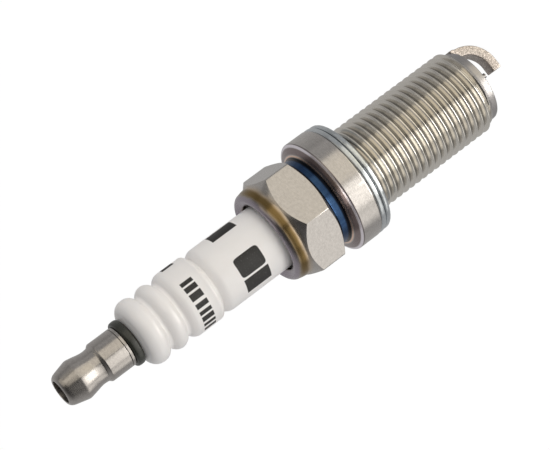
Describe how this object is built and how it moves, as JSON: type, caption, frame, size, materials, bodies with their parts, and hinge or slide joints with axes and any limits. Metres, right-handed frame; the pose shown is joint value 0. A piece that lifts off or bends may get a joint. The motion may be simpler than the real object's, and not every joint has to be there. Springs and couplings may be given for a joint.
{
  "type": "spark plug",
  "caption": "Spark plug with a long 14 mm thread, 16 mm hexagon, captive folded gasket, ribbed ceramic insulator and a screwed-on terminal nut.",
  "frame": {"origin": "middle of the shell's sealing seat, on the plug's axis", "axes": "+Z along the axis towards the terminal; the ground electrode is on the +X side"},
  "size_m": [0.0188, 0.0188, 0.0844],
  "materials": {
    "plated_steel": "satin",
    "zinc_steel": "satin",
    "glazed_alumina": "gloss",
    "bright_nickel": "satin",
    "plain_steel": "satin",
    "black_rubber": "matte",
    "conductive_glass": "gloss",
    "resistor_compound": "matte",
    "nickel_alloy": "satin",
    "copper": "satin",
    "noble_metal": "satin",
    "pressed_talc": "matte"
  },
  "bodies": {
    "plug": {"shell": "plated_steel", "insulator": "glazed_alumina", "terminal_stud": "plain_steel", "terminal_o_ring": "black_rubber", "upper_glass_seal": "conductive_glass", "resistor": "resistor_compound", "lower_glass_seal": "conductive_glass", "center_electrode": "nickel_alloy", "center_electrode_core": "copper", "firing_pin": "noble_metal", "ground_electrode": "nickel_alloy", "lower_packing_ring": "plain_steel", "upper_packing_ring": "plain_steel", "talc_packing": "pressed_talc", "inner_gasket": "copper"},
    "captive_gasket": {"gasket": "zinc_steel"},
    "thrust_washer": {"terminal_washer": "plain_steel"},
    "nut": {"terminal_nut": "bright_nickel"}
  },
  "joints": [
    {"name": "terminal_nut_travel", "type": "slide", "parent": "plug", "child": "thrust_washer", "axis": [0, 0, 1], "range_m": [0, 0.0063]},
    {"name": "terminal_nut_spin", "type": "hinge", "parent": "thrust_washer", "child": "nut", "pos_m": [0, 0, 0.042], "axis": [0, 0, 1], "range_deg": [0, 3240]},
    {"name": "gasket_spin", "type": "hinge", "parent": "plug", "child": "captive_gasket", "pos_m": [0, 0, -0.0011], "axis": [0, 0, 1], "continuous": true}
  ],
  "couplings": [
    {"joint": "terminal_nut_spin", "follows": "terminal_nut_travel", "rad_per_m": 8976}
  ]
}
